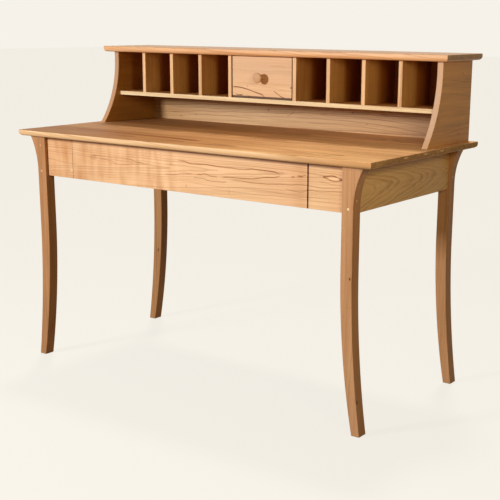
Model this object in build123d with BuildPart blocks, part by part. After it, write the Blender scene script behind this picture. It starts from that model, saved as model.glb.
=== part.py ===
"""Shaker sewing desk with a pigeonhole hutch, in millimetres, +Z up.

The origin is on the floor under the middle of the desk, +X runs to the sitter's right
and +Y to the back.
"""
from build123d import *
from dataclasses import dataclass
import os

os.makedirs("parts", exist_ok=True)

# ------------------------------------------------------------------ driving sizes
top_width = 1330
top_depth = 625
top_height = 762
overall_height = 1020
board = 19
under_round = 11
arris = 2.5
eased = 1

leg_thick = 35
leg_front = 293
leg_inner = 567
leg_outer = 604
leg_straight_from = 470
foot_inner = 613.5
foot_outer = 640
flare_from = 635
flare_out = 632
foot_chamfer = 1.5

apron_low = 617.5
apron_thick = 22
front_reveal = 11
side_reveal = 5.5

tenon_thick = 8
tenon_tall = 20
front_tenon_long = 28
side_tenon_long = 29
front_tenon_levels = (631.5, 714)
side_tenon_levels = (653, 692)
peg_radius = 3.5
side_peg_in = 15
peg_deep = 26
panel_peg_in = 5.5
panel_peg_level = 643.5
panel_peg_deep = 30

opening_half = 453
partition_thick = 18
partition_low = 622
partition_housing = 7
rail_wide = 58
rail_thick = 19
rail_stub = 6
rail_stub_wide = 40
strip_wide = 20
running_gap = 0.3

button_long = 28
button_wide = 30
button_tall = 16
button_lip = 6
button_tongue = 6
button_slot_above = 13
button_slot_wide = 40
button_slack = 1
button_rows_side = (-150, 150)
button_rows_back = (-350, 0, 350)
rail_screw_rows = (-300, 0, 300)

screw_shank = 2
screw_head = 4
screw_head_tall = 2.2
screw_point = 4
slot_wide = 0.9
slot_deep = 1
top_screw_long = 28
back_screw_long = 24
bottom_screw_long = 22

hutch_half = 640
hutch_back = 299
hutch_side_front = 113.5
hutch_arc_radius = 326
hutch_arc_from = 975
hutch_top_front = 86.5
housing = 6
panel_thick = 9
shelf_low = 854
thin_board = 13
shelf_front = 114
cell_wide = 112
cells_each_side = 4
tongue = 4
tongue_setback = 8
dowel_radius = 4
dowel_in = 12
dowel_rows = (90, 250)
back_screw_levels = (790, 880, 970)
back_screw_rows = (-420, -140, 140, 420)

desk_gap_left = 1
desk_gap_right = 2.8
desk_gap_above = 1.5
desk_side_low = 636.5
desk_side_gap_above = 2.5
desk_back_gap_above = 8
desk_panel_up = 12
desk_box_long = 480
small_gap = 2
small_box_long = 156
small_recess = 1.5
small_side_gap_above = 7
small_back_gap_above = 13
small_panel_up = 9
stop_long = 12
stop_wide = 20
stop_tall = 10
stop_rows = (-70, 70)

knob_spread = 16.5
knob_rim = 15
knob_reach = 29.5
knob_neck = 7.5
knob_foot = 11
knob_lip = 1.5
knob_waist_at = 10.5
knob_swell_at = 21.2
knob_widest_at = 23.8
knob_shoulder_at = 26.6
knob_foot_slope = (-1, 0.6)
knob_swell_slope = (1, 0.35)
knob_tenon = 5
knob_tenon_long = 13

# ------------------------------------------------------------------ derived places
top_under = top_height - board
half_depth = top_depth / 2
leg_rear = leg_front - leg_thick
leg_middle = leg_front - leg_thick / 2
side_peg_y = leg_front - side_peg_in
apron_outer_x = leg_outer - side_reveal
apron_inner_x = apron_outer_x - apron_thick
apron_outer_y = leg_front - front_reveal
apron_inner_y = apron_outer_y - apron_thick
apron_middle_x = apron_outer_x - apron_thick / 2
apron_middle_y = apron_outer_y - apron_thick / 2
partition_outer = opening_half + partition_thick
rail_low = top_under - rail_thick
rail_back = rail_wide - apron_inner_y
rail_middle = rail_wide / 2 - apron_inner_y
strip_inner = opening_half - strip_wide
hutch_inner = hutch_half - board
hutch_under = overall_height - board
hutch_mid_x = hutch_half - board / 2
panel_front = hutch_back - panel_thick
rabbet_x = hutch_inner + panel_thick
shelf_top = shelf_low + thin_board
cell_pitch = cell_wide + thin_board
small_half = hutch_inner - cells_each_side * cell_pitch
side_screw_x = (hutch_inner + rabbet_x) / 2
slot_low = top_under - button_slot_above
tongue_front = shelf_front + tongue_setback
arc_run = hutch_arc_from - top_height
hutch_toe = hutch_side_front - hutch_arc_radius + (hutch_arc_radius**2 - arc_run**2) ** 0.5


def save(builder, label):
    """Name a finished piece and write it."""
    builder.part.label = label
    export_step(builder.part, f"parts/{label}.step")


def block(x, y, z, mode=Mode.ADD):
    """A box between two limits on each axis."""
    with Locations(((x[0] + x[1]) / 2, (y[0] + y[1]) / 2, (z[0] + z[1]) / 2)):
        Box(abs(x[1] - x[0]), abs(y[1] - y[0]), abs(z[1] - z[0]), mode=mode)


def around(middle, size):
    """Two limits either side of a middle."""
    return (middle - size / 2, middle + size / 2)


def to_side(limits, sign):
    """The limits as they are for +1, or on the other side of zero for -1."""
    return (sign * limits[0], sign * limits[1])


def rounded_board(width, depth, low, middle_y):
    """A board well rounded underneath all round, with its upper edges eased."""
    with BuildPart() as panel:
        with BuildSketch(Plane.XY.offset(low)):
            with Locations((0, middle_y)):
                Rectangle(width, depth)
        extrude(amount=board)
        fillet(panel.edges().group_by(Axis.Z)[0], under_round)
        fillet(panel.edges().group_by(Axis.Z)[-1], arris)
    return panel.part


def wood_screw(length):
    """Round-headed slotted screw pointing up, with its head just under the origin."""
    with BuildPart() as one:
        with BuildSketch(Plane.XZ):
            with BuildLine():
                Polyline(
                    (0, -screw_head_tall),
                    (0, length),
                    (screw_shank, length - screw_point),
                    (screw_shank, 0),
                    (screw_head, 0),
                )
                TangentArc((0, -screw_head_tall), (screw_head, 0), tangent=(1, 0))
            make_face()
        revolve(axis=Axis.Z)
        slot_limits = (-screw_head_tall, slot_deep - screw_head_tall)
        block((-screw_head, screw_head), around(0, slot_wide), slot_limits, Mode.SUBTRACT)
    return one.part


# ------------------------------------------------------------------ screws' places
top_screw_places = [
    Location((sign * (apron_inner_x - button_long / 2), y, top_under - button_tall))
    for sign in (-1, 1)
    for y in button_rows_side
]
top_screw_places += [
    Location((x, apron_inner_y - button_long / 2, top_under - button_tall)) for x in button_rows_back
]
top_screw_places += [Location((x, rail_middle, rail_low)) for x in rail_screw_rows]

back_screw_places = [
    Location((sign * side_screw_x, hutch_back, z), (90, 0, 0)) for sign in (-1, 1) for z in back_screw_levels
]
back_screw_places += [
    Location((x, hutch_back, shelf_low + thin_board / 2), (90, 0, 0)) for x in back_screw_rows
]

dowel_places = [(sign * hutch_mid_x, y) for sign in (-1, 1) for y in dowel_rows]


def cut_screws(places, length):
    """Pilot holes along a set of screws."""
    with Locations(*places):
        Cylinder(
            screw_shank,
            length,
            align=(Align.CENTER, Align.CENTER, Align.MIN),
            mode=Mode.SUBTRACT,
        )


# ------------------------------------------------------------------ desk top
top_panel = rounded_board(top_width, top_depth, top_under, 0)
with BuildPart() as desk_top:
    add(top_panel)
    with Locations(*[(x, y, top_height) for x, y in dowel_places]):
        Hole(dowel_radius, depth=dowel_in)
    cut_screws(top_screw_places, top_screw_long)
save(desk_top, "desk_top")


# ------------------------------------------------------------------ legs
def leg_outline(plane, sign):
    """A leg seen from the front: flared to the top, and kicked out at the foot."""
    with BuildSketch(plane) as outline:
        with BuildLine():
            Line((sign * leg_inner, top_under), (sign * flare_out, top_under))
            TangentArc((sign * leg_outer, flare_from), (sign * flare_out, top_under), tangent=(0, 1))
            Line((sign * leg_outer, flare_from), (sign * leg_outer, leg_straight_from))
            TangentArc((sign * leg_outer, leg_straight_from), (sign * foot_outer, 0), tangent=(0, -1))
            Line((sign * foot_outer, 0), (sign * foot_inner, 0))
            TangentArc((sign * leg_inner, leg_straight_from), (sign * foot_inner, 0), tangent=(0, -1))
            Line((sign * leg_inner, leg_straight_from), (sign * leg_inner, top_under))
        make_face()
    return outline.sketch


def front_tenons(sign, end, mode=Mode.ADD):
    """Twin tenons of a front or back apron, reaching sideways into a leg."""
    for level in front_tenon_levels:
        block(
            to_side((leg_inner, leg_inner + front_tenon_long), sign),
            around(end * apron_middle_y, tenon_thick),
            around(level, tenon_tall),
            mode,
        )


def side_tenons(sign, end, mode=Mode.ADD):
    """Twin tenons of a side apron, between the heights of the front ones."""
    for level in side_tenon_levels:
        block(
            around(sign * apron_middle_x, tenon_thick),
            to_side((leg_rear, leg_rear + side_tenon_long), end),
            around(level, tenon_tall),
            mode,
        )


def pegs(sign, end, mode=Mode.ADD):
    """Pegs driven through both faces of a leg, across the middle of each tenon."""
    for level in front_tenon_levels:
        with Locations(Location((sign * apron_middle_x, end * leg_front, level), (90 * end, 0, 0))):
            Cylinder(peg_radius, peg_deep, align=(Align.CENTER, Align.CENTER, Align.MIN), mode=mode)
    side_peg_start = leg_outer - peg_deep
    side_peg_long = flare_out - side_peg_start
    for level in side_tenon_levels:
        with Locations(Location((sign * side_peg_start, end * side_peg_y, level), (0, 90 * sign, 0))):
            Cylinder(peg_radius, side_peg_long, align=(Align.CENTER, Align.CENTER, Align.MIN), mode=mode)


def panel_peg(sign, mode=Mode.ADD):
    """Peg through the end of a fixed front panel into the partition behind it."""
    peg_x = sign * (opening_half + panel_peg_in)
    with Locations(Location((peg_x, -apron_outer_y, panel_peg_level), (-90, 0, 0))):
        Cylinder(peg_radius, panel_peg_deep, align=(Align.CENTER, Align.CENTER, Align.MIN), mode=mode)


corners = [("front_left", -1, -1), ("front_right", 1, -1), ("back_left", -1, 1), ("back_right", 1, 1)]
for corner, sign, end in corners:
    outline = leg_outline(Plane.XZ.offset(-end * leg_middle - leg_thick / 2), sign)
    with BuildPart() as leg:
        extrude(outline, amount=leg_thick)
        chamfer(leg.faces().sort_by(Axis.Z)[0].edges(), foot_chamfer)
        chamfer([edge for edge in leg.edges() if edge.bounding_box().size.Z > leg_thick], eased)
        front_tenons(sign, end, Mode.SUBTRACT)
        side_tenons(sign, end, Mode.SUBTRACT)
        pegs(sign, end, Mode.SUBTRACT)
    save(leg, f"leg_{corner}")

left_envelope = leg_outline(Plane.XZ.offset(-leg_front), -1)
right_envelope = leg_outline(Plane.XZ.offset(-leg_front), 1)
with BuildPart() as leg_envelope:
    extrude(left_envelope, amount=2 * leg_front)
    extrude(right_envelope, amount=2 * leg_front)

with BuildPart() as joint_pegs:
    for _, sign, end in corners:
        pegs(sign, end)
    add(leg_envelope.part, mode=Mode.INTERSECT)
    for sign in (-1, 1):
        panel_peg(sign)
save(joint_pegs, "joint_pegs")


# ------------------------------------------------------------------ aprons and rail
for side, sign in (("left", -1), ("right", 1)):
    with BuildPart() as apron:
        block(to_side((apron_inner_x, apron_outer_x), sign), (-leg_rear, leg_rear), (apron_low, top_under))
        chamfer(apron.edges().group_by(Axis.Z)[0].filter_by(Axis.Y), eased)
        for end in (-1, 1):
            side_tenons(sign, end)
            pegs(sign, end, Mode.SUBTRACT)
        block(
            to_side((apron_inner_x, apron_inner_x + rail_stub), sign),
            around(rail_middle, rail_stub_wide),
            (rail_low, top_under),
            Mode.SUBTRACT,
        )
        for row in button_rows_side:
            block(
                to_side((apron_inner_x, apron_inner_x + button_lip + button_slack), sign),
                around(row, button_slot_wide),
                (slot_low, slot_low + button_tongue),
                Mode.SUBTRACT,
            )
    save(apron, f"apron_{side}")

partition_x = (opening_half, partition_outer)
with BuildPart() as apron_back:
    block((-leg_inner, leg_inner), (apron_inner_y, apron_outer_y), (apron_low, top_under))
    chamfer(apron_back.edges().group_by(Axis.Z)[0].filter_by(Axis.X), eased)
    for sign in (-1, 1):
        front_tenons(sign, 1)
        pegs(sign, 1, Mode.SUBTRACT)
        block(
            to_side(partition_x, sign),
            (apron_inner_y, apron_inner_y + partition_housing),
            (partition_low, top_under),
            Mode.SUBTRACT,
        )
    for row in button_rows_back:
        block(
            around(row, button_slot_wide),
            (apron_inner_y, apron_inner_y + button_lip + button_slack),
            (slot_low, slot_low + button_tongue),
            Mode.SUBTRACT,
        )
save(apron_back, "apron_back")

for side, sign in (("left", -1), ("right", 1)):
    with BuildPart() as front_panel:
        panel_x = to_side((opening_half, leg_inner), sign)
        block(panel_x, (-apron_outer_y, -apron_inner_y), (apron_low, top_under))
        chamfer(front_panel.faces().sort_by(Axis.Y)[0].edges(), eased / 2)
        front_tenons(sign, -1)
        pegs(sign, -1, Mode.SUBTRACT)
        block(
            to_side(partition_x, sign),
            (-apron_inner_y - partition_housing, -apron_inner_y),
            (partition_low, rail_low),
            Mode.SUBTRACT,
        )
        panel_peg(sign, Mode.SUBTRACT)
    save(front_panel, f"front_panel_{side}")

with BuildPart() as front_rail:
    block((-apron_inner_x, apron_inner_x), (-apron_inner_y, rail_back), (rail_low, top_under))
    for sign in (-1, 1):
        leg_corner_x = to_side((leg_inner, apron_inner_x), sign)
        block(leg_corner_x, (-apron_inner_y, -leg_rear), (rail_low, top_under), Mode.SUBTRACT)
    stub_reach = apron_inner_x + rail_stub
    block((-stub_reach, stub_reach), around(rail_middle, rail_stub_wide), (rail_low, top_under))
    cut_screws(top_screw_places, top_screw_long)
save(front_rail, "front_rail")

# ------------------------------------------------------------------ drawer's way in the desk
for side, sign in (("left", -1), ("right", 1)):
    housed = apron_inner_y + partition_housing
    with BuildPart() as partition:
        block(to_side(partition_x, sign), (-housed, housed), (partition_low, top_under))
        block(to_side(partition_x, sign), (-housed, rail_back), (rail_low, top_under), Mode.SUBTRACT)
        panel_peg(sign, Mode.SUBTRACT)
    save(partition, f"drawer_partition_{side}")

    strip_x = to_side((strip_inner, opening_half), sign)
    with BuildPart() as runner:
        block(strip_x, (eased - apron_inner_y, apron_inner_y), (partition_low, desk_side_low - running_gap))
        chamfer(runner.edges().filter_by(Axis.Y).group_by(Axis.Z)[0], eased)
    save(runner, f"drawer_runner_{side}")

    with BuildPart() as kicker:
        block(strip_x, (rail_back, apron_inner_y), (rail_low, top_under))
        chamfer(kicker.edges().filter_by(Axis.Y).group_by(Axis.Z)[0], eased)
    save(kicker, f"drawer_kicker_{side}")

# ------------------------------------------------------------------ what holds the top down
with BuildPart() as tabletop_buttons:
    tongue_z = (slot_low, slot_low + button_tongue)
    for sign in (-1, 1):
        for row in button_rows_side:
            body_x = to_side((apron_inner_x - button_long, apron_inner_x), sign)
            tongue_x = to_side((apron_inner_x, apron_inner_x + button_lip), sign)
            block(body_x, around(row, button_wide), (top_under - button_tall, top_under))
            block(tongue_x, around(row, button_wide), tongue_z)
    for row in button_rows_back:
        body_y = (apron_inner_y - button_long, apron_inner_y)
        tongue_y = (apron_inner_y, apron_inner_y + button_lip)
        block(around(row, button_wide), body_y, (top_under - button_tall, top_under))
        block(around(row, button_wide), tongue_y, tongue_z)
    cut_screws(top_screw_places, top_screw_long)
save(tabletop_buttons, "tabletop_buttons")

top_screw = wood_screw(top_screw_long)
with BuildPart() as tabletop_screws:
    with Locations(*top_screw_places):
        add(top_screw)
save(tabletop_screws, "tabletop_screws")


# ------------------------------------------------------------------ hutch
def divider_housing(middle, z, mode=Mode.SUBTRACT):
    """The tongue of a divider, or the housing that it sits in."""
    block(around(middle, thin_board), (tongue_front, panel_front), z, mode)


divider_middles = [small_half + thin_board / 2 + step * cell_pitch for step in range(cells_each_side)]
divider_middles = sorted([-middle for middle in divider_middles] + divider_middles)
lower_tongue = (shelf_top - tongue, shelf_top)
upper_tongue = (hutch_under, hutch_under + tongue)

for side, sign in (("left", -1), ("right", 1)):
    side_inner = Plane.YZ.offset(hutch_inner if sign > 0 else -hutch_half)
    with BuildPart() as hutch_side:
        with BuildSketch(side_inner):
            with BuildLine():
                Polyline(
                    (hutch_side_front, hutch_arc_from),
                    (hutch_side_front, hutch_under + housing),
                    (hutch_back, hutch_under + housing),
                    (hutch_back, top_height),
                    (hutch_toe, top_height),
                )
                TangentArc((hutch_side_front, hutch_arc_from), (hutch_toe, top_height), tangent=(0, -1))
            make_face()
        extrude(amount=board)
        tall_edges = [edge for edge in hutch_side.edges() if edge.bounding_box().size.Z > board]
        chamfer([edge for edge in tall_edges if edge.bounding_box().max.Y < hutch_side_front + eased], eased)
        rabbet = to_side((hutch_inner, rabbet_x), sign)
        block(rabbet, (panel_front, hutch_back), (top_height, hutch_under + housing), Mode.SUBTRACT)
        shelf_housing = to_side((hutch_inner, hutch_inner + housing), sign)
        block(shelf_housing, (tongue_front, panel_front), (shelf_low, shelf_top), Mode.SUBTRACT)
        with Locations(*[Location((x, y, top_height)) for x, y in dowel_places]):
            Cylinder(dowel_radius, 2 * dowel_in, mode=Mode.SUBTRACT)
        cut_screws(back_screw_places, back_screw_long)
    save(hutch_side, f"hutch_side_{side}")

hutch_depth = half_depth - hutch_top_front
hutch_panel = rounded_board(top_width, hutch_depth, hutch_under, half_depth - hutch_depth / 2)
with BuildPart() as hutch_top:
    add(hutch_panel)
    for sign in (-1, 1):
        side_x = to_side((hutch_inner, hutch_half), sign)
        block(side_x, (hutch_side_front, hutch_back), (hutch_under, hutch_under + housing), Mode.SUBTRACT)
    for middle in divider_middles:
        divider_housing(middle, upper_tongue)
save(hutch_top, "hutch_top")

with BuildPart() as hutch_shelf:
    block((-hutch_inner, hutch_inner), (shelf_front, panel_front), (shelf_low, shelf_top))
    chamfer(hutch_shelf.faces().sort_by(Axis.Y)[0].edges().filter_by(Axis.X), eased / 2)
    shelf_reach = hutch_inner + housing
    block((-shelf_reach, shelf_reach), (tongue_front, panel_front), (shelf_low, shelf_top))
    for middle in divider_middles:
        divider_housing(middle, lower_tongue)
    cut_screws(back_screw_places, back_screw_long)
save(hutch_shelf, "hutch_shelf")

for number, middle in enumerate(divider_middles, start=1):
    with BuildPart() as divider:
        block(around(middle, thin_board), (shelf_front, panel_front), (shelf_top, hutch_under))
        chamfer(divider.faces().sort_by(Axis.Y)[0].edges().filter_by(Axis.Z), eased / 2)
        divider_housing(middle, lower_tongue, Mode.ADD)
        divider_housing(middle, upper_tongue, Mode.ADD)
    save(divider, f"pigeonhole_divider_{number}")

with BuildPart() as hutch_back_panel:
    block((-rabbet_x, rabbet_x), (panel_front, hutch_back), (top_height, hutch_under))
    cut_screws(back_screw_places, back_screw_long)
save(hutch_back_panel, "hutch_back_panel")

back_screw = wood_screw(back_screw_long)
with BuildPart() as hutch_back_screws:
    with Locations(*back_screw_places):
        add(back_screw)
save(hutch_back_screws, "hutch_back_screws")

with BuildPart() as hutch_dowels:
    with Locations(*[Location((x, y, top_height)) for x, y in dowel_places]):
        Cylinder(dowel_radius, 2 * dowel_in)
    chamfer(hutch_dowels.edges().filter_by(GeomType.CIRCLE), eased)
save(hutch_dowels, "hutch_dowels")


# ------------------------------------------------------------------ drawers
@dataclass
class Drawer:
    """A drawer dovetailed at all four corners, its bottom slid into grooves."""

    name: str
    across: tuple
    face: float
    front_thick: float
    front_z: tuple
    side_thick: float
    side_z: tuple
    back_z: tuple
    back: float
    panel_thick: float
    front_tails: tuple
    back_tails: tuple
    tail_wide: float
    tail_narrow: float
    screw_rows: tuple

    @property
    def front_rear(self):
        return self.face + self.front_thick

    @property
    def panel_x(self):
        inset = self.side_thick - self.panel_thick
        return (self.across[0] + inset, self.across[1] - inset)

    @property
    def panel_y(self):
        return (self.front_rear - self.panel_thick, self.back)

    @property
    def panel_z(self):
        return (self.back_z[0] - self.panel_thick, self.back_z[0])

    @property
    def screw_places(self):
        return [Location((x, self.back - self.side_thick / 2, self.panel_z[0])) for x in self.screw_rows]

    def side_x(self, sign):
        if sign < 0:
            return (self.across[0], self.across[0] + self.side_thick)
        return (self.across[1] - self.side_thick, self.across[1])


def dovetails(drawer, sign):
    """The tails on both ends of a drawer side, as solids."""
    narrow = drawer.tail_narrow / 2
    wide = drawer.tail_wide / 2
    ends = [
        (drawer.front_rear, -1, drawer.front_tails),
        (drawer.back - drawer.side_thick, 1, drawer.back_tails),
    ]
    with BuildPart() as tails:
        with BuildSketch(Plane.YZ.offset(drawer.side_x(sign)[0])):
            for shoulder, way, levels in ends:
                tip = shoulder + way * drawer.side_thick
                for level in levels:
                    Polygon(
                        (shoulder, level - narrow),
                        (tip, level - wide),
                        (tip, level + wide),
                        (shoulder, level + narrow),
                    )
        extrude(amount=drawer.side_thick)
    return tails.part


def build_drawer(drawer):
    """Write the five boards of a drawer."""
    tails = {sign: dovetails(drawer, sign) for sign in (-1, 1)}
    for side, sign in (("left", -1), ("right", 1)):
        with BuildPart() as drawer_side:
            block(drawer.side_x(sign), (drawer.front_rear, drawer.back), drawer.side_z)
            chamfer(drawer_side.edges().filter_by(Axis.Y).group_by(Axis.Z)[-1], eased)
            back_y = (drawer.back - drawer.side_thick, drawer.back)
            block(drawer.side_x(sign), back_y, drawer.back_z, Mode.SUBTRACT)
            add(tails[sign])
            block(drawer.panel_x, drawer.panel_y, drawer.panel_z, Mode.SUBTRACT)
        save(drawer_side, f"{drawer.name}_side_{side}")

    with BuildPart() as front:
        block(drawer.across, (drawer.face, drawer.front_rear), drawer.front_z)
        chamfer(front.faces().sort_by(Axis.Y)[0].edges(), eased / 2)
        add(list(tails.values()), mode=Mode.SUBTRACT)
        block(drawer.panel_x, drawer.panel_y, drawer.panel_z, Mode.SUBTRACT)
        if drawer.name == "small_drawer":
            with Locations(Location((0, drawer.face, knob_level), (90, 0, 0))):
                Hole(knob_tenon, depth=knob_tenon_long)
    save(front, f"{drawer.name}_front")

    with BuildPart() as back:
        block(drawer.across, (drawer.back - drawer.side_thick, drawer.back), drawer.back_z)
        add(list(tails.values()), mode=Mode.SUBTRACT)
        cut_screws(drawer.screw_places, bottom_screw_long)
    save(back, f"{drawer.name}_back")

    with BuildPart() as panel:
        block(drawer.panel_x, drawer.panel_y, drawer.panel_z)
        cut_screws(drawer.screw_places, bottom_screw_long)
    save(panel, f"{drawer.name}_bottom")

    bottom_screw = wood_screw(bottom_screw_long)
    with BuildPart() as screws:
        with Locations(*drawer.screw_places):
            add(bottom_screw)
    save(screws, f"{drawer.name}_screws")


desk_drawer = Drawer(
    name="desk_drawer",
    across=(desk_gap_left - opening_half, opening_half - desk_gap_right),
    face=-apron_outer_y,
    front_thick=21.5,
    front_z=(apron_low, top_under - desk_gap_above),
    side_thick=14,
    side_z=(desk_side_low, rail_low - desk_side_gap_above),
    back_z=(desk_side_low + desk_panel_up, rail_low - desk_back_gap_above),
    back=desk_box_long - apron_outer_y,
    panel_thick=6,
    front_tails=(653, 680, 707),
    back_tails=(662, 683, 704),
    tail_wide=18,
    tail_narrow=13,
    screw_rows=(-300, 0, 300),
)
small_drawer = Drawer(
    name="small_drawer",
    across=(small_gap - small_half, small_half - small_gap),
    face=shelf_front + small_recess,
    front_thick=16,
    front_z=(shelf_top + small_gap / 2, hutch_under - small_gap),
    side_thick=10,
    side_z=(shelf_top + running_gap, hutch_under - small_side_gap_above),
    back_z=(shelf_top + small_panel_up, hutch_under - small_back_gap_above),
    back=shelf_front + small_recess + small_box_long,
    panel_thick=4,
    front_tails=(881, 911, 941, 971),
    back_tails=(890, 918, 946, 974),
    tail_wide=18,
    tail_narrow=14,
    screw_rows=(0,),
)
knob_level = (small_drawer.front_z[0] + small_drawer.front_z[1]) / 2
build_drawer(desk_drawer)
build_drawer(small_drawer)

with BuildPart() as turned_knob:
    with BuildSketch(Plane.XZ):
        with BuildLine():
            Polyline(
                (0, knob_reach),
                (0, -knob_tenon_long),
                (knob_tenon, -knob_tenon_long),
                (knob_tenon, 0),
                (knob_foot, 0),
                (knob_foot, knob_lip),
            )
            Spline(
                (knob_foot, knob_lip),
                (knob_neck, knob_waist_at),
                (knob_rim, knob_swell_at),
                tangents=(knob_foot_slope, knob_swell_slope),
            )
            ThreePointArc(
                (knob_rim, knob_swell_at),
                (knob_spread, knob_widest_at),
                (knob_rim, knob_shoulder_at),
            )
            TangentArc((0, knob_reach), (knob_rim, knob_shoulder_at), tangent=(1, 0))
        make_face()
    revolve(axis=Axis.Z)

with BuildPart() as small_drawer_knob:
    with Locations(Location((0, small_drawer.face, knob_level), (90, 0, 0))):
        add(turned_knob.part)
save(small_drawer_knob, "small_drawer_knob")

with BuildPart() as small_drawer_stops:
    stop_y = (small_drawer.back + running_gap, small_drawer.back + running_gap + stop_long)
    for row in stop_rows:
        block(around(row, stop_wide), stop_y, (shelf_top, shelf_top + stop_tall))
    chamfer(small_drawer_stops.edges().filter_by(Axis.X).group_by(Axis.Z)[-1], eased)
save(small_drawer_stops, "small_drawer_stops")
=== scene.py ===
"""Shaker sewing desk in oiled cherry: its room, its woods and its fittings, in metres.

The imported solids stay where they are. +X runs to the sitter's right, +Y to the back and +Z up.
"""
import math

import bpy
from mathutils import Euler, Matrix, Vector


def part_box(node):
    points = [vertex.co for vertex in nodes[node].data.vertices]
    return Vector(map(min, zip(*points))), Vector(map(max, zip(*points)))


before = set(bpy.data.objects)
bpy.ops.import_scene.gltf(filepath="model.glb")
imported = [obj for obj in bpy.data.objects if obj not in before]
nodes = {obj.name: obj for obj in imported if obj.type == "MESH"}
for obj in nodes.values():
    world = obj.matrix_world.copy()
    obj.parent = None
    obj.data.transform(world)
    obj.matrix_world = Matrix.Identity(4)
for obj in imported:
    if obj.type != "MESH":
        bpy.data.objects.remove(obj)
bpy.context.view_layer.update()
bpy.ops.object.select_all(action="DESELECT")


# ------------------------------------------------------------------ viewer
# The viewer stands to the right of the front, a little above the hutch, and looks down to the
# left. The lens is long, and its shift sets where the desk stands in the square frame.
picture_side = 500
eye = (2.0250, -2.6086, 1.1106)
turn_left = 0.61896
look_down = 0.25795
tilt = 0.00688
focal_pixels = 1048.10
centre_pixel = (281.76, 296.72)

camera_data = bpy.data.cameras.new("viewer")
camera_data.sensor_width = 36
camera_data.lens = focal_pixels * camera_data.sensor_width / picture_side
camera_data.shift_x = 0.5 - centre_pixel[0] / picture_side
camera_data.shift_y = centre_pixel[1] / picture_side - 0.5
camera = bpy.data.objects.new("viewer", camera_data)
camera.location = eye
aim = Euler((math.pi / 2 - look_down, 0, turn_left)).to_matrix() @ Matrix.Rotation(tilt, 3, "Z")
camera.rotation_euler = aim.to_euler()
bpy.context.scene.collection.objects.link(camera)
bpy.context.scene.camera = camera


# ------------------------------------------------------------------ room
# A plain pale room: a seamless cream floor that runs into a cream sky, an even ambient light,
# a low lamp before the desk, a high light from behind, and a weaker lamp at the right.
cream = (246, 242, 233)
floor_grey = (120, 108, 90)
sky_tint = (255, 224, 174)
sky_level = 0.14
floor_evenness = 0.90
floor_reach = 60
lamps = {
    "front_lamp": {
        "place": (-1.30, -2.90, 1.50), "aim": (0.0, 0.0, 0.75), "side": 0.50, "power": 88,
        "tint": (255, 255, 255),
    },
    "right_lamp": {
        "place": (1.75, -1.19, 1.28), "aim": (0.2, 0.0, 0.80), "side": 0.36, "power": 10,
        "tint": (255, 234, 186),
    },
}
high_light = {"from": (-0.25, 0.42, 1.0), "level": 0.56, "spread": 9, "tint": (255, 250, 240)}


def linear(colour):
    """A colour written in 0 to 255, taken off the sRGB curve for the shaders."""
    parts = [part / 255 for part in colour]
    return (*[part / 12.92 if part < 0.04045 else ((part + 0.055) / 1.055) ** 2.4 for part in parts], 1)


class Strand:
    """A shader socket that takes part in sums: each operator adds its Math node."""

    def __init__(self, finish, socket):
        self.finish = finish
        self.socket = socket

    def output(self, name):
        return Strand(self.finish, self.socket.node.outputs[name])

    def sum(self, operation, *values):
        return self.finish.add("Math", {"operation": operation}, dict(enumerate(values)))

    def __add__(self, other):
        return self.sum("ADD", self, other)

    def __radd__(self, other):
        return self.sum("ADD", other, self)

    def __sub__(self, other):
        return self.sum("SUBTRACT", self, other)

    def __rsub__(self, other):
        return self.sum("SUBTRACT", other, self)

    def __mul__(self, other):
        return self.sum("MULTIPLY", self, other)

    def __truediv__(self, other):
        return self.sum("DIVIDE", self, other)

    def __pow__(self, other):
        return self.sum("POWER", self, other)

    def __abs__(self):
        return self.sum("ABSOLUTE", self)


class Finish:
    """The node tree of a material or of the sky, emptied and then built up."""

    def __init__(self, owner):
        owner.use_nodes = True
        self.owner = owner
        self.tree = owner.node_tree
        self.tree.nodes.clear()

    def add(self, kind, settings, sockets):
        """Add a node: its settings first, then the values or links of its sockets."""
        node = self.tree.nodes.new("ShaderNode" + kind)
        for name, value in settings.items():
            if name == "curve":
                self.bend(node.mapping, value)
            elif name == "stops":
                self.stain(node.color_ramp, value)
            else:
                setattr(node, name, value)
        for name, value in sockets.items():
            named = [socket for socket in node.inputs if socket.enabled and socket.name == name]
            socket = named[0] if named else node.inputs[name]
            if isinstance(value, Strand):
                self.tree.links.new(value.socket, socket)
            else:
                socket.default_value = value
        return Strand(self, next((socket for socket in node.outputs if socket.enabled), None))

    def bend(self, mapping, places):
        """Lead a node's curve through places that run from 0 to 1."""
        points = mapping.curves[0].points
        points[0].location = places[0]
        points[1].location = places[-1]
        for place in places[1:-1]:
            points.new(*place)
        mapping.update()

    def stain(self, ramp, stops):
        """Give a ramp its colours at places that run from 0 to 1."""
        ramp.interpolation = "EASE"
        for place, colour in stops[1:-1]:
            ramp.elements.new(place)
        for element, (place, colour) in zip(ramp.elements, stops):
            element.position = place
            element.color = linear(colour)

    def fade(self, value, start, end):
        """0 before start, 1 after end, and smooth between them."""
        limits = {"Value": value, "From Min": start, "From Max": end}
        return self.add("MapRange", {"interpolation_type": "SMOOTHSTEP"}, limits)

    def mix(self, factor, first, second):
        """From the first colour at 0 to the second at 1."""
        return self.add("Mix", {"data_type": "RGBA"}, {"Factor": factor, "A": first, "B": second})


class Backdrop(Finish):
    """Cream to the eye and in reflections, and plain light everywhere else."""

    def seen(self):
        rays = self.add("LightPath", {}, {})
        seen = rays.output("Is Camera Ray")
        for other in ("Is Glossy Ray", "Is Transmission Ray"):
            seen = self.add("Math", {"operation": "MAXIMUM"}, {0: seen, 1: rays.output(other)})
        return seen


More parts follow.
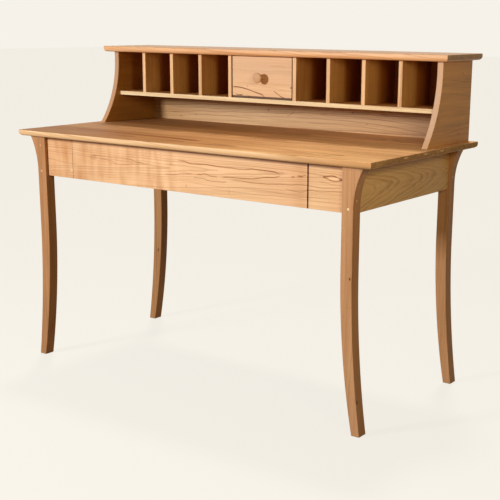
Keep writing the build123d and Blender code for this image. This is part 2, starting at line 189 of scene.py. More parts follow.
sky = Backdrop(bpy.data.worlds.new("sky"))
sky_seen = sky.add("Background", {}, {"Color": linear(cream), "Strength": 1.0})
sky_light = sky.add("Background", {}, {"Color": linear(sky_tint), "Strength": sky_level})
sky_mix = sky.add("MixShader", {}, {0: sky.seen(), 1: sky_light, 2: sky_seen})
sky.add("OutputWorld", {}, {"Surface": sky_mix})
bpy.context.scene.world = sky.owner

floor_paint = Backdrop(bpy.data.materials.new("floor_paint"))
floor_seen = floor_paint.seen()
floor_tone = floor_paint.mix(floor_seen, linear(floor_grey), linear(cream))
floor_matt = floor_paint.add("BsdfDiffuse", {}, {"Color": floor_tone})
floor_even = floor_paint.add("Emission", {}, {"Color": linear(cream), "Strength": 1.0})
floor_layers = {0: floor_seen * floor_evenness, 1: floor_matt, 2: floor_even}
floor_mix = floor_paint.add("MixShader", {}, floor_layers)
floor_paint.add("OutputMaterial", {}, {"Surface": floor_mix})
bpy.ops.mesh.primitive_plane_add(size=floor_reach)
floor = bpy.context.object
floor.name = "floor"
floor.data.materials.append(floor_paint.owner)

for name, lamp in lamps.items():
    lamp_data = bpy.data.lights.new(name, "AREA")
    lamp_data.size = lamp["side"]
    lamp_data.energy = lamp["power"]
    lamp_data.color = linear(lamp["tint"])[:3]
    light = bpy.data.objects.new(name, lamp_data)
    light.location = lamp["place"]
    away = Vector(lamp["place"]) - Vector(lamp["aim"])
    light.rotation_euler = away.to_track_quat("Z", "Y").to_euler()
    bpy.context.scene.collection.objects.link(light)
sun_data = bpy.data.lights.new("high_light", "SUN")
sun_data.energy = high_light["level"] * math.pi
sun_data.angle = math.radians(high_light["spread"])
sun_data.color = linear(high_light["tint"])[:3]
sun = bpy.data.objects.new("high_light", sun_data)
sun.rotation_euler = Vector(high_light["from"]).to_track_quat("Z", "Y").to_euler()
bpy.context.scene.collection.objects.link(sun)
bpy.context.scene.view_settings.view_transform = "Standard"


# ------------------------------------------------------------------ legs
# Four legs sawn from thick cherry, straight at the apron, flared to the top and kicked out at
# the foot. The grain runs up them, small knots show in two, and their long edges are eased.
class Wood(Finish):
    """Sawn wood on Object coordinates: rings about a heart line, fibres and an oiled skin.

    lie names the axes along the grain, across the board and through it. joints are the glue
    lines across a panel, and past them each next board has its own figure.
    """

    def __init__(self, name, lie, offset=0.0, joints=()):
        super().__init__(bpy.data.materials.new(name))
        coordinates = self.add("TexCoord", {}, {})
        place = self.add("SeparateXYZ", {}, {"Vector": coordinates.output("Object")})
        facing = self.add("SeparateXYZ", {}, {"Vector": coordinates.output("Normal")})
        self.along, self.across, self.deep = [place.output(axis) for axis in lie]
        self.end = self.fade(abs(facing.output(lie[0])), 0.55, 0.9)
        self.flank = self.fade(abs(facing.output(lie[1])), 0.5, 0.9)
        seam, next_board, waver = 0.0002, 5.3, 0.004
        self.past = [self.fade(self.across, joint - seam, joint + seam) for joint in joints]
        self.offset = offset
        for board in self.past:
            self.offset = board * next_board + self.offset
        self.waver = (self.noise(along=22, across=60, deep=60) - 0.5) * waver

    def noise(self, along, across, deep, detail=2.0):
        """Noise about 0.5, stretched by its scales along, across and through the board."""
        long, wide, thick = self.along * along + self.offset, self.across * across, self.deep * deep
        place = self.add("CombineXYZ", {}, {"X": long, "Y": wide, "Z": thick})
        return self.add("TexNoise", {}, {"Vector": place, "Scale": 1.0, "Detail": detail})

    def grow(self, heart, lean=0.0, taper=0.02, wave=0.004):
        """Set the rings about a heart line.

        heart is where the line crosses the axes across and through the board, lean moves it
        across for each metre along, and taper lets the rings run out of the board, which draws
        the pointed figure of a plain-sawn face.
        """
        sway_per_wave = 6
        sway = self.noise(along=2.5, across=5, deep=5) - 0.5
        side = self.across - self.along * lean + sway * wave * sway_per_wave - heart[0]
        back = self.deep - heart[1]
        ripple = self.noise(along=16, across=45, deep=45) - 0.5
        self.radius = (side * side + back * back) ** 0.5 + self.along * taper + ripple * wave

    def latewood(self, spacing):
        """The thin dark edge of each ring, some strong and some faint."""
        crowding = 2.5
        years = self.radius / spacing
        weather = self.add("TexNoise", {"noise_dimensions": "1D"}, {"W": years, "Scale": 0.4})
        count = years + weather * crowding
        ring = self.add("Math", {"operation": "FLOOR"}, {0: count})
        part = count - ring
        strength = self.add("TexWhiteNoise", {"noise_dimensions": "1D"}, {"W": ring})
        return self.fade(part, start=0.3, end=0.9) * self.fade(part, start=1.0, end=0.93) * strength

    def ring_at(self, distance, width):
        """One chosen dark ring, at its distance from the heart."""
        return self.fade(abs(self.radius - distance), width, 0)

    def line(self, path, width):
        """A dark line through places along and across the board, thinning to its ends."""
        start, end = path[0][0], path[-1][0]
        low = min(across for _, across in path)
        span = max(across for _, across in path) - low
        curve = [((along - start) / (end - start), (across - low) / span) for along, across in path]
        part = (self.along - start) / (end - start)
        level = self.add("FloatCurve", {"curve": curve}, {"Value": part}) * span + low
        core, taper = width * 0.25, 0.08
        near = self.fade(abs(self.across + self.waver - level), width, core)
        return near * self.fade(part, 0, taper) * self.fade(part, 1, 1 - taper)

    def oval(self, place, reach, soft=0.35):
        """A mark about a place along, across and through the board; None runs right through."""
        total = 0.0
        axes = (self.along, self.across + self.waver, self.deep)
        for axis, middle, half in zip(axes, place, reach):
            if half:
                part = (axis - middle) / half
                total = part * part + total
        return self.fade(total ** 0.5, 1.0, soft)

    def curl(self, pitch):
        """Curly figure: soft light and dark bands across the grain."""
        return self.noise(along=1 / pitch, across=9, deep=3, detail=1.0) - 0.5

    def shade(self, colour):
        """A colour written in 0 to 255, or one that already varies."""
        return colour if isinstance(colour, Strand) else linear(colour)

    def tones(self, axis, stops):
        """Colours that change along an axis, each at its place in metres."""
        start, end = stops[0][0], stops[-1][0]
        shares = [((place - start) / (end - start), colour) for place, colour in stops]
        return self.add("ValToRGB", {"stops": shares}, {"Fac": (axis - start) / (end - start)})

    def oiled(
        self, tone, dark, rings, marks=0.0, deep=(84, 44, 20), ends=(150, 96, 58), grain=1.0,
        rough=0.46, gloss=0.2,
    ):
        """Mix the wood's colours and lay the satin oil over them.

        rings, streaks, fibres, clouds and flecks lead from tone to dark, marks lead on to deep,
        and ends is the colour of end grain. grain scales all but the rings.
        """
        streak = self.noise(along=3.5, across=90, deep=90, detail=3) - 0.5
        fibre = self.noise(along=18, across=1400, deep=1400)
        cloud = self.noise(along=3, across=11, deep=11) - 0.5
        flecks = self.fade(self.noise(along=70, across=1100, deep=1100, detail=0), 0.70, 0.82)
        depth = rings + (streak * 0.8 + (fibre - 0.5) * 0.45 + cloud * 0.6 + flecks * 0.3) * grain
        wood = self.mix(self.fade(depth, -0.5, 1.0), self.shade(tone), self.shade(dark))
        sawn = self.mix(self.end * (self.fade(depth, -0.4, 0.4) * 0.4 + 0.5), wood, self.shade(ends))
        colour = self.mix(marks, sawn, self.shade(deep))
        sheen = (fibre - 0.5) * 0.22 + self.end * 0.15 + rough
        height = fibre + rings * 0.3
        bump = self.add("Bump", {}, {"Strength": 0.25, "Distance": 0.0004, "Height": height})
        skin = {"Base Color": colour, "Roughness": sheen, "Normal": bump, "Specular IOR Level": gloss}
        self.add("OutputMaterial", {}, {"Surface": self.add("BsdfPrincipled", {}, skin)})
        return self.owner


def dress(material, *names):
    """Give CAD nodes their finish."""
    for name in names:
        node = nodes[name].data
        node.materials.clear()
        node.materials.append(material)


# Each leg has its front tone, a darker colour for its side faces that is painted shade, and its dark.
legs = {
    "front_left": {"tone": (190, 140, 97), "flank": (182, 130, 82), "dark": (132, 83, 44)},
    "front_right": {"tone": (220, 170, 127), "flank": (192, 142, 94), "dark": (152, 100, 56)},
    "back_left": {"tone": (196, 146, 99), "flank": (190, 136, 85), "dark": (132, 83, 44)},
    "back_right": {"tone": (214, 164, 120), "flank": (188, 140, 90), "dark": (146, 96, 52)},
}
knots = {
    "front_left": [],
    "front_right": [
        ((0.444, 0.597, None), (0.0055, 0.0028, None)),
        ((0.458, 0.612, -0.287), (0.0060, 0.0060, 0.0035)),
        ((0.099, 0.628, -0.287), (0.0080, 0.0080, 0.0045)),
    ],
    "back_left": [((0.274, -0.588, None), (0.0080, 0.0028, None))],
    "back_right": [],
}
next_leg = 7.0
heart_aside, heart_before = 0.03, 0.04
for number, (corner, shades) in enumerate(legs.items()):
    low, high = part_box(f"leg_{corner}")
    leg_wood = Wood(f"cherry_leg_{corner}", lie="ZXY", offset=next_leg * number)
    leg_heart = ((low.x + high.x) / 2 + heart_aside, low.y - heart_before)
    leg_wood.grow(heart=leg_heart, taper=0.012)
    knot = 0.0
    for place, reach in knots[corner]:
        knot = leg_wood.oval(place, reach) + knot
    figure = leg_wood.latewood(spacing=0.004) * 0.3 + knot
    # The side faces take the darker flank colour, a painted shade.
    leg_tone = leg_wood.mix(leg_wood.flank, linear(shades["tone"]), linear(shades["flank"]))
    leg_skin = leg_wood.oiled(leg_tone, shades["dark"], figure, marks=knot, gloss=0.12)
    dress(leg_skin, f"leg_{corner}")


# ------------------------------------------------------------------ aprons
# The side and back aprons, plain cherry boards let into the legs. The side boards are sawn
# close to the heart, so pointed arcs run along them.
side_apron = Wood("cherry_apron_side", lie="YZX", offset=3.1)
side_apron.grow(heart=(0.668, 0.575), lean=0.02, taper=0.15, wave=0.010)
side_rings = side_apron.latewood(spacing=0.0065) * 0.65
side_skin = side_apron.oiled(tone=(230, 189, 127), dark=(170, 124, 68), rings=side_rings)
dress(side_skin, "apron_left", "apron_right")

back_apron = Wood("cherry_apron_back", lie="XZY", offset=11.4)
back_apron.grow(heart=(0.700, 0.30), lean=0.01, taper=0.03)
back_rings = back_apron.latewood(spacing=0.006) * 0.5
dress(back_apron.oiled(tone=(214, 162, 112), dark=(160, 106, 64), rings=back_rings), "apron_back")


# ------------------------------------------------------------------ front
# The drawer front and the filler at each end are sawn from one plank of cherry, so the
# figure runs on across the joints, as on the rail behind. The finish is darker along the top
# edge, at both ends and at the drawer's right gap, where it stands in for shade.
plank = Wood("cherry_front_plank", lie="XZY")
plank.grow(heart=(0.691, -0.274), lean=0.03, taper=0.0343)
plank_tones = [
    (-0.60, (226, 179, 135)), (-0.42, (230, 185, 141)), (-0.25, (240, 195, 149)),
    (0.0, (255, 211, 165)), (0.25, (255, 215, 169)), (0.38, (254, 209, 165)),
    (0.43, (240, 193, 147)), (0.47, (255, 215, 169)), (0.60, (252, 203, 157)),
]
plank_lines = [
    ([(-0.021, 0.712), (0.017, 0.710), (0.048, 0.705), (0.104, 0.707), (0.156, 0.705), (0.238, 0.705),
      (0.273, 0.708), (0.335, 0.708), (0.352, 0.703), (0.367, 0.700)], 0.0022, 0.75),
    ([(0.148, 0.675), (0.184, 0.678), (0.249, 0.681), (0.277, 0.683), (0.311, 0.689), (0.339, 0.693),
      (0.367, 0.700)], 0.0022, 0.75),
    ([(-0.066, 0.667), (-0.022, 0.668), (0.009, 0.674), (0.047, 0.676)], 0.0020, 0.5),
    ([(0.060, 0.676), (0.074, 0.677), (0.093, 0.680), (0.111, 0.676), (0.140, 0.674)], 0.0022, 0.6),
    ([(0.045, 0.666), (0.085, 0.666), (0.104, 0.662), (0.133, 0.662), (0.175, 0.665)], 0.0020, 0.6),
    ([(0.175, 0.667), (0.217, 0.672), (0.238, 0.671), (0.266, 0.670), (0.308, 0.671), (0.342, 0.674),
      (0.393, 0.677), (0.442, 0.680), (0.484, 0.678), (0.523, 0.680), (0.575, 0.685)], 0.0020, 0.6),
    ([(0.370, 0.664), (0.393, 0.662), (0.426, 0.659), (0.459, 0.669), (0.485, 0.667), (0.532, 0.671),
      (0.590, 0.672)], 0.0018, 0.45),
    ([(-0.340, 0.690), (-0.300, 0.689), (-0.270, 0.685), (-0.260, 0.679), (-0.230, 0.680),
      (-0.200, 0.684), (-0.150, 0.687), (-0.125, 0.689)], 0.0020, 0.55),
    ([(-0.370, 0.700), (-0.310, 0.700), (-0.220, 0.700), (-0.180, 0.693), (-0.140, 0.690)], 0.0020, 0.5),
    ([(-0.580, 0.676), (-0.561, 0.673), (-0.496, 0.667), (-0.473, 0.665), (-0.430, 0.664)],
     0.0018, 0.45),
    ([(0.020, 0.651), (0.120, 0.648), (0.260, 0.652), (0.420, 0.649), (0.590, 0.653)], 0.0014, 0.35),
    ([(0.080, 0.640), (0.240, 0.638), (0.400, 0.641), (0.590, 0.638)], 0.0014, 0.3),
    ([(0.498, 0.708), (0.514, 0.7105), (0.530, 0.7125), (0.548, 0.7095), (0.567, 0.705)], 0.0024, 0.8),
    ([(0.498, 0.708), (0.514, 0.7035), (0.538, 0.6990), (0.552, 0.7015), (0.567, 0.706)], 0.0024, 0.8),
    ([(0.484, 0.719), (0.510, 0.7195), (0.540, 0.7190), (0.570, 0.713), (0.590, 0.712)], 0.0016, 0.35),
    ([(0.484, 0.694), (0.515, 0.692), (0.545, 0.689), (0.590, 0.695)], 0.0016, 0.35),
]
plank_marks = plank.latewood(spacing=0.0046) * 0.42 + plank.ring_at(distance=0.0206, width=0.002) * 0.2
line_depth = 0.85
for path, width, strength in plank_lines:
    plank_marks = plank.line(path, width) * (strength * line_depth) + plank_marks
plank_spots = [
    ((-0.360, 0.693), (0.022, 0.012), 0.25), ((-0.037, 0.698), (0.010, 0.006), 0.25),
    ((0.020, 0.638), (0.002, 0.008), 0.5), ((0.181, 0.637), (0.002, 0.014), 0.25),
    ((0.402, 0.699), (0.008, 0.003), 0.5), ((0.427, 0.703), (0.014, 0.004), 0.6),
    ((0.440, 0.707), (0.008, 0.003), 0.5), ((0.557, 0.7055), (0.012, 0.004), 0.6),
]
for (along, across), (long, high), strength in plank_spots:
    plank_marks = plank.oval((along, across, None), (long, high, None)) * strength + plank_marks
eye_core = plank.oval((0.533, 0.7053, None), (0.021, 0.0045, None), soft=0.5)
right_gap = 0.4516
in_end = plank.fade(abs(plank.along), 0.5915, 0.5940)
in_top = plank.fade(plank.across, 0.7285, 0.7365)
in_gap = plank.fade(abs(plank.along - right_gap), 0.0032, 0.0022)
on_front = plank.fade(plank.deep, -0.2790, -0.2810)
in_corner = in_gap * 0.8 + (in_end * 0.8 + in_top * 0.7)
in_corner = in_corner * (1 - plank.flank) * on_front
plank_marks = plank_marks - eye_core * 0.4 + in_corner
plank_deep = plank.mix(in_corner, linear((148, 84, 40)), linear((84, 44, 18)))
curly = plank.curl(pitch=0.026) * plank.fade(plank.along, 0.05, -0.12) * 1.4
plank_tone = plank.tones(plank.along, plank_tones)
plank_wood = plank.oiled(
    plank_tone, (192, 132, 78), curly - eye_core * 0.3, marks=plank_marks, deep=plank_deep, grain=0.7
)
dress(plank_wood, "desk_drawer_front", "front_panel_left", "front_panel_right", "front_rail")


# ------------------------------------------------------------------ desk top
# The work surface is three cherry boards glued edge to edge, rounded underneath so that its
# front and ends look thin. It is darker towards its left end, partly its tone and partly painted
# shade, and one brown streak runs along it. The front edge is paler, partly its tone and partly
# painted light, with a painted highlight along its upper arris.
top_joints = (-0.130, 0.072)
top_wood = Wood("cherry_desk_top", lie="XYZ", joints=top_joints)
top_heart = top_wood.past[0] * 0.215 + top_wood.past[1] * 0.18 - 0.245
top_wood.grow(heart=(top_heart, 0.70), lean=0.012, taper=0.045, wave=0.006)
# Darker towards the left end: partly the boards' tone and partly painted shade.
top_tones = [
    (-0.66, (162, 120, 76)), (-0.48, (166, 122, 76)), (-0.36, (172, 122, 72)),
    (-0.15, (192, 138, 80)), (0.10, (224, 166, 104)), (0.35, (255, 199, 136)),
    (0.66, (255, 203, 142)),
]
top_tone = top_wood.mix(
    top_wood.past[0] * 0.35 - top_wood.past[1] * 0.35,
    top_wood.tones(top_wood.along, top_tones),
    linear((252, 196, 138)),
)
before_face = top_wood.fade(top_wood.across, -0.3000, -0.3015)
below_face = top_wood.fade(top_wood.deep, 0.7612, 0.7598)
top_nose = before_face * below_face
# The front edge's paler tones are partly its own and partly painted light.
nose_tones = [
    (-0.66, (230, 192, 148)), (0.0, (250, 212, 166)), (0.35, (250, 208, 160)),
    (0.5, (226, 176, 126)), (0.66, (212, 160, 108)),
]
# A painted highlight along the upper arris, fading out towards the right end.
arris_highlight = top_wood.fade(top_wood.deep, 0.7565, 0.7590) * top_wood.fade(top_wood.along, 0.6, 0.3) * 0.5
nose_tone = top_wood.mix(arris_highlight, top_wood.tones(top_wood.along, nose_tones), linear((255, 240, 204)))
top_tone = top_wood.mix(top_nose, top_tone, nose_tone)
top_lines = [
    ([(-0.56, -0.168), (-0.40, -0.176), (-0.28, -0.186), (-0.12, -0.192), (0.02, -0.204)], 0.016, 1.0),
    ([(-0.50, -0.232), (-0.30, -0.240), (-0.05, -0.246), (0.20, -0.262)], 0.006, 0.4),
    ([(-0.20, -0.060), (0.10, -0.068), (0.40, -0.076), (0.62, -0.080)], 0.003, 0.3),
]
top_figure = top_wood.latewood(spacing=0.009) * 0.55
for path, width, strength in top_lines:
    top_figure = top_wood.line(path, width) * strength + top_figure
glue, glue_width, glue_depth = 0.0, 0.0009, 0.35
for joint in top_joints:
    glue = top_wood.fade(abs(top_wood.across - joint), glue_width, 0.0) * glue_depth + glue
top_dark = top_wood.mix(top_nose, linear((144, 84, 38)), linear((206, 158, 108)))
# Three pale spots near the top of the right end.
end_spots = 0.0
for across in (-0.131, -0.018, 0.078):
    end_spots = top_wood.oval((0.6640, across, 0.7560), (0.006, 0.018, 0.0032)) + end_spots
top_end = top_wood.mix(end_spots, linear((150, 116, 80)), linear((240, 200, 150)))
top_skin = top_wood.oiled(
    top_tone, top_dark, top_figure + glue, ends=top_end, rough=0.55, gloss=0.12
)
dress(top_skin, "desk_top")


# ------------------------------------------------------------------ hutch sides
# Two hutch sides, sawn to a hollow curve in front and standing on dowels in the top. Their
# grain runs from front to back, so the curved edge shows pale end grain. The faces inside the
# hutch are painted darker, as shade.
side_wood = Wood("cherry_hutch_side", lie="YZX", offset=5.2)
side_wood.grow(heart=(0.84, 0.70), lean=-0.03, taper=0.03, wave=0.005)
side_knot, knot_stretch = 0.0, 1.5
side_knots = [(0.228, 0.790, 0.0026), (0.225, 0.812, 0.0022), (0.240, 0.965, 0.0024)]
for along, across, high in side_knots:
    long = high * knot_stretch
    side_knot = side_wood.oval((along, across, None), (long, high, None)) + side_knot
side_figure = side_wood.latewood(spacing=0.008) * 0.25 + side_knot * 0.5
# The inner faces take a darker tone, a painted shade.
side_tones = [
    (-0.640, (206, 150, 88)), (-0.6235, (206, 150, 88)), (-0.6215, (166, 114, 46)),
    (0.6215, (166, 114, 46)), (0.6235, (218, 160, 90)), (0.640, (218, 160, 90)),
]
side_ends = [(-0.64, (190, 152, 124)), (0.0, (190, 152, 124)), (0.64, (218, 188, 166))]
side_tone = side_wood.tones(side_wood.deep, side_tones)
side_end = side_wood.tones(side_wood.deep, side_ends)
side_skin = side_wood.oiled(
    side_tone, (128, 80, 34), side_figure, marks=side_knot * 0.7, ends=side_end
)
dress(side_skin, "hutch_side_left", "hutch_side_right")


# ------------------------------------------------------------------ pigeonholes
# A shelf between the hutch sides and eight thin dividers above it, housed in shallow grooves.
# The shelf's grain runs lengthwise, that of the dividers upright, and both are painted darker
# inwards, as shade in the cells.
shelf_wood = Wood("cherry_shelf", lie="XYZ", offset=8.8)
shelf_wood.grow(heart=(0.10, 0.80), lean=0.01, taper=0.02)
# Darker towards the back, a painted shade in the cells.
shelf_tones = [
    (0.112, (255, 236, 192)), (0.1150, (255, 236, 192)), (0.1165, (206, 152, 92)),
    (0.300, (150, 92, 44)),
]
shelf_tone = shelf_wood.tones(shelf_wood.across, shelf_tones)
shelf_rings = shelf_wood.latewood(spacing=0.006) * 0.4
dress(shelf_wood.oiled(shelf_tone, dark=(176, 118, 66), rings=shelf_rings), "hutch_shelf")

divider_wood = Wood("cherry_divider", lie="ZYX", offset=2.6)
divider_wood.grow(heart=(0.15, 0.9), lean=0.02, taper=0.02)
# Darker towards the back, a painted shade in the cells.
divider_tones = [
    (0.112, (252, 210, 160)), (0.1150, (252, 210, 160)), (0.1165, (216, 172, 110)),
    (0.180, (208, 164, 100)), (0.215, (140, 84, 34)), (0.300, (112, 56, 18)),
]
divider_tone = divider_wood.tones(divider_wood.across, divider_tones)
dividers = [f"pigeonhole_divider_{number}" for number in range(1, 9)]
divider_rings = divider_wood.latewood(spacing=0.006) * 0.4
dress(divider_wood.oiled(divider_tone, dark=(150, 94, 44), rings=divider_rings), *dividers)


# ------------------------------------------------------------------ hutch back
# One wide cherry panel closes the hutch behind, screwed on from the back. Its arcs meet in a
# fan at the right, a pin knot and a few dark marks show below the shelf, and it is painted
# darker between the dividers, as shade in the cells.
back_wood = Wood("cherry_hutch_back", lie="XZY", offset=1.7)
back_wood.grow(heart=(0.90, 0.33), lean=-0.02, taper=0.05, wave=0.006)
back_lines = [
    ([(0.0, 0.797), (0.12, 0.798), (0.250, 0.797), (0.36, 0.791), (0.46, 0.780), (0.55, 0.765)],
     0.0022, 0.5),
    ([(0.12, 0.812), (0.26, 0.811), (0.38, 0.806), (0.50, 0.795), (0.60, 0.782)], 0.002, 0.4),
    ([(0.20, 0.826), (0.32, 0.825), (0.44, 0.820), (0.60, 0.806)], 0.002, 0.4),
    ([(0.05, 0.783), (0.20, 0.784), (0.34, 0.778), (0.45, 0.769)], 0.002, 0.4),
    ([(-0.55, 0.790), (-0.42, 0.786), (-0.30, 0.787), (-0.15, 0.783)], 0.002, 0.35),
    ([(-0.025, 0.800), (0.0, 0.812), (0.010, 0.825)], 0.002, 0.5),
]
back_spots = [
    ((-0.100, 0.816), (0.006, 0.004), 0.6), ((-0.420, 0.784), (0.008, 0.002), 0.6),
    ((-0.490, 0.775), (0.008, 0.002), 0.6), ((0.125, 0.813), (0.022, 0.0025), 0.45),
    ((0.235, 0.825), (0.008, 0.004), 0.5), ((0.350, 0.825), (0.018, 0.003), 0.5),
]
back_figure = back_wood.latewood(spacing=0.006) * 0.8
for path, width, strength in back_lines:
    back_figure = back_wood.line(path, width) * strength + back_figure
for (along, across), (long, high), strength in back_spots:
    back_figure = back_wood.oval((along, across, None), (long, high, None)) * strength + back_figure
pin_knot = back_wood.oval((0.288, 0.792, None), (0.0032, 0.0024, None)) * 0.8
back_tones = [
    (-0.62, (196, 160, 113)), (-0.2, (224, 190, 146)), (0.3, (214, 176, 130)),
    (0.62, (158, 122, 83)),
]
back_pale = back_wood.tones(back_wood.along, back_tones)
# Painted shade: the front face above the shelf, between the dividers, is darker.
above_shelf = back_wood.fade(back_wood.across, 0.850, 0.875)
on_front = back_wood.fade(back_wood.deep, 0.297, 0.293)
inside = above_shelf * on_front
back_tone = back_wood.mix(inside, back_pale, linear((150, 92, 44)))
back_marks = back_figure * 0.8 + pin_knot
back_skin = back_wood.oiled(
    back_tone, dark=(164, 114, 70), rings=0.0, marks=back_marks, deep=(120, 74, 42)
)
dress(back_skin, "hutch_back_panel")


# ------------------------------------------------------------------ hutch top
# The board that lies on the hutch sides and overhangs the pigeonholes, rounded underneath
# like the desk top. Its upper face is a little darker than its edge, and its oil glossier.
hood_wood = Wood("cherry_hutch_top", lie="XYZ", offset=14.2)
hood_wood.grow(heart=(0.16, 0.95), lean=0.015, taper=0.04)
hood_face = hood_wood.fade(hood_wood.deep, 1.0185, 1.0196)
hood_tone = hood_wood.mix(hood_face, linear((244, 194, 144)), linear((212, 162, 112)))
hood_dark = hood_wood.mix(hood_face, linear((192, 134, 84)), linear((158, 108, 66)))
hood_rings = hood_wood.latewood(spacing=0.007) * 0.6
hood_skin = hood_wood.oiled(
    hood_tone, hood_dark, hood_rings, ends=(136, 102, 66), rough=0.42, gloss=0.4
)
dress(hood_skin, "hutch_top")


# ------------------------------------------------------------------ small drawer front
# The small drawer's front hangs between the middle dividers, a figured offcut of the same
# cherry with a dark wandering line below the knob. Its edges are painted dark, as shade in the
# gap around it.
small_wood = Wood("cherry_small_front", lie="XZY", offset=6.4)
small_wood.grow(heart=(0.860, 0.14), lean=0.02, taper=0.05, wave=0.006)
small_lines = [
    ([(-0.119, 0.901), (-0.087, 0.901), (-0.071, 0.8985), (-0.046, 0.893), (-0.033, 0.8895),
      (-0.015, 0.885), (0.0, 0.881), (0.008, 0.8765), (0.014, 0.871)], 0.0024, 1.0),
    ([(0.046, 0.894), (0.062, 0.886), (0.075, 0.878), (0.090, 0.874)], 0.0022, 0.8),
    ([(-0.105, 0.880), (-0.0845, 0.877), (-0.073, 0.880)], 0.0022, 0.8),
    ([(-0.062, 0.879), (-0.045, 0.874)], 0.0014, 0.35),
    ([(-0.110, 0.915), (-0.050, 0.914), (0.020, 0.906), (0.100, 0.895)], 0.0016, 0.15),
    ([(0.030, 0.971), (0.060, 0.970), (0.095, 0.968)], 0.0018, 0.2),
]
small_marks = small_wood.latewood(spacing=0.008) * 0.1
for path, width, strength in small_lines:
    small_marks = small_wood.line(path, width) * strength + small_marks
small_spots = [((-0.084, 0.877), (0.007, 0.0025), 0.4), ((-0.057, 0.905), (0.003, 0.003), 0.4)]
for (along, across), (long, high), strength in small_spots:
    small_marks = small_wood.oval((along, across, None), (long, high, None)) * strength + small_marks
chip = small_wood.oval((0.1135, 0.906, None), (0.004, 0.005, None)) * 0.7
# Painted shade: the face's edges, and the side faces just behind the face, darken as in the gap.
behind_face = small_wood.fade(small_wood.deep, 0.1158, 0.1180)
before_box = small_wood.fade(small_wood.deep, 0.1215, 0.1200)
at_ends = small_wood.fade(abs(small_wood.along), 0.1152, 0.1172)
at_foot = small_wood.fade(small_wood.across, 0.8760, 0.8735)
on_face = small_wood.fade(small_wood.deep, 0.1180, 0.1165)
small_gap_shade = behind_face * before_box + (at_ends + at_foot) * on_face * 0.9
small_tones = [
    (0.872, (244, 204, 160)), (0.900, (240, 200, 158)), (0.960, (226, 188, 150)),
    (0.995, (230, 194, 156)),
]
small_tone = small_wood.tones(small_wood.across, small_tones)
small_deep = small_wood.mix(small_gap_shade, linear((124, 72, 34)), linear((52, 22, 6)))
small_marks = small_marks + chip + small_gap_shade
small_skin = small_wood.oiled(
    small_tone, dark=(186, 134, 86), rings=0.0, marks=small_marks, deep=small_deep, grain=0.8
)
dress(small_skin, "small_drawer_front")


# ------------------------------------------------------------------ knob
# The knob is turned from the same wood with the grain along its tenon, so its cap shows end
# grain, rubbed smooth and a little glossy by fingers.
knob_wood = Wood("cherry_knob", lie="YXZ", offset=9.9)
knob_wood.grow(heart=(0.012, 0.955), taper=0.1)
knob_shades = (214, 170, 126), (154, 104, 64)
knob_rings = knob_wood.latewood(spacing=0.003) * 0.8
dress(knob_wood.oiled(*knob_shades, knob_rings, ends=(206, 162, 122), rough=0.36), "small_drawer_knob")


# ------------------------------------------------------------------ pegs, dowels and buttons
# Pale maple pegs pin the tenons in the legs, dowels hold the hutch on the top, and buttons
# hooked into the aprons hold the top down while it moves with the seasons. The upper pegs and
# those at each end have tones of their own.
peg_wood = Wood("maple_peg", lie="YXZ", offset=4.4)
peg_wood.grow(heart=(0.0, 0.72), taper=0.1)
peg_tones = [
    (-0.60, (222, 176, 130)), (-0.52, (222, 176, 130)), (-0.50, (240, 200, 156)),
    (-0.45, (240, 200, 156)), (0.40, (240, 188, 138)), (0.56, (240, 188, 138)),
    (0.575, (255, 230, 186)), (0.602, (255, 230, 186)), (0.606, (214, 160, 108)),
    (0.64, (214, 160, 108)),
]
upper_pegs = peg_wood.fade(peg_wood.deep, 0.665, 0.680)
lower_tone = peg_wood.tones(peg_wood.across, peg_tones)
peg_tone = peg_wood.mix(upper_pegs, lower_tone, linear((204, 150, 102)))
peg_rings = peg_wood.latewood(spacing=0.0022) * 0.3
dress(peg_wood.oiled(peg_tone, (176, 124, 80), peg_rings, ends=peg_tone), "joint_pegs")

dowel_wood = Wood("maple_dowel", lie="ZXY", offset=12.5)
dowel_wood.grow(heart=(0.0, 0.1), taper=0.05)
dowel_shades = (226, 198, 158), (176, 138, 96)
dress(dowel_wood.oiled(*dowel_shades, dowel_wood.latewood(spacing=0.003) * 0.4), "hutch_dowels")

button_wood = Wood("maple_button", lie="YXZ", offset=13.3)
button_wood.grow(heart=(0.0, 0.80), taper=0.05)
button_shades = (222, 190, 148), (172, 130, 88)
dress(button_wood.oiled(*button_shades, button_wood.latewood(spacing=0.004) * 0.5), "tabletop_buttons")


# ------------------------------------------------------------------ drawer boxes
# Both drawer boxes are soft maple left pale, with thin bottoms in grooves. The grain of the
# sides runs front to back, and that of the backs and bottoms runs across.
drawers, sides = ("desk", "small"), ("left", "right")
box_shades = (228, 200, 160), (186, 148, 108)
box_ends = (196, 160, 118)
maple_side = Wood("maple_drawer_side", lie="YZX", offset=16.1)
maple_side.grow(heart=(0.60, 0.0), lean=0.02, taper=0.03)
side_names = [f"{drawer}_drawer_side_{side}" for drawer in drawers for side in sides]
side_rings = maple_side.latewood(spacing=0.005) * 0.5
dress(maple_side.oiled(*box_shades, side_rings, ends=box_ends), *side_names)

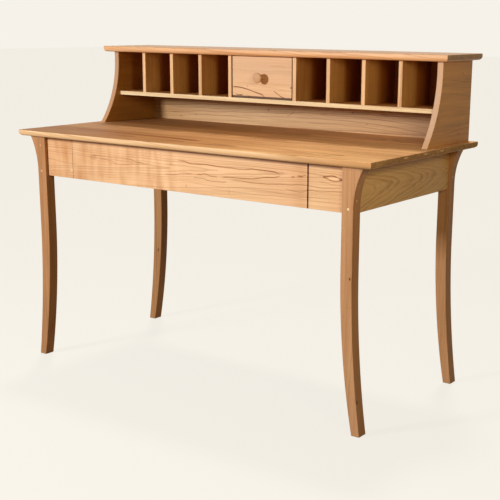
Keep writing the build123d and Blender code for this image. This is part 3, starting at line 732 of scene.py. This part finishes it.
maple_cross = Wood("maple_drawer_cross", lie="XYZ", offset=17.6)
maple_cross.grow(heart=(0.0, 0.5), lean=0.02, taper=0.03)
cross_names = [f"{drawer}_drawer_{part}" for drawer in drawers for part in ("back", "bottom")]
cross_rings = maple_cross.latewood(spacing=0.005) * 0.5
cross_skin = maple_cross.oiled(*box_shades, cross_rings, ends=box_ends)
dress(cross_skin, *cross_names, "small_drawer_stops")


# ------------------------------------------------------------------ drawer frame
# Two partitions between the front and back aprons carry the drawer's runners, and the kickers
# above keep it from tipping. They are plain maple and show only from below.
frame_wood = Wood("maple_frame", lie="YZX", offset=18.3)
frame_wood.grow(heart=(0.75, 0.0), lean=0.015, taper=0.02)
frame_shades = (216, 184, 142), (168, 126, 86)
frame_parts = ("partition", "runner", "kicker")
frame_names = [f"drawer_{part}_{side}" for part in frame_parts for side in sides]
dress(frame_wood.oiled(*frame_shades, frame_wood.latewood(spacing=0.006) * 0.6), *frame_names)


# ------------------------------------------------------------------ screws
# Zinc-plated steel screws hold the buttons, the drawer boxes and the hutch back. The plating is
# slightly clouded and finely scratched.
zinc = Finish(bpy.data.materials.new("zinc_screw"))
zinc_place = zinc.add("TexCoord", {}, {}).output("Object")
cloud = zinc.add("TexNoise", {}, {"Vector": zinc_place, "Scale": 900.0, "Detail": 3.0})
scratch = zinc.add("TexNoise", {}, {"Vector": zinc_place, "Scale": 5200.0, "Detail": 1.0})
zinc_colour = zinc.mix(zinc.fade(cloud, 0.35, 0.7), linear((196, 196, 192)), linear((156, 155, 148)))
zinc_bump = zinc.add("Bump", {}, {"Strength": 0.2, "Distance": 0.0002, "Height": scratch})
zinc_sheen = cloud * 0.3 + 0.22
zinc_skin = {
    "Base Color": zinc_colour, "Metallic": 1.0, "Roughness": zinc_sheen, "Normal": zinc_bump,
}
zinc.add("OutputMaterial", {}, {"Surface": zinc.add("BsdfPrincipled", {}, zinc_skin)})
dress(zinc.owner, "tabletop_screws", "desk_drawer_screws", "hutch_back_screws", "small_drawer_screws")
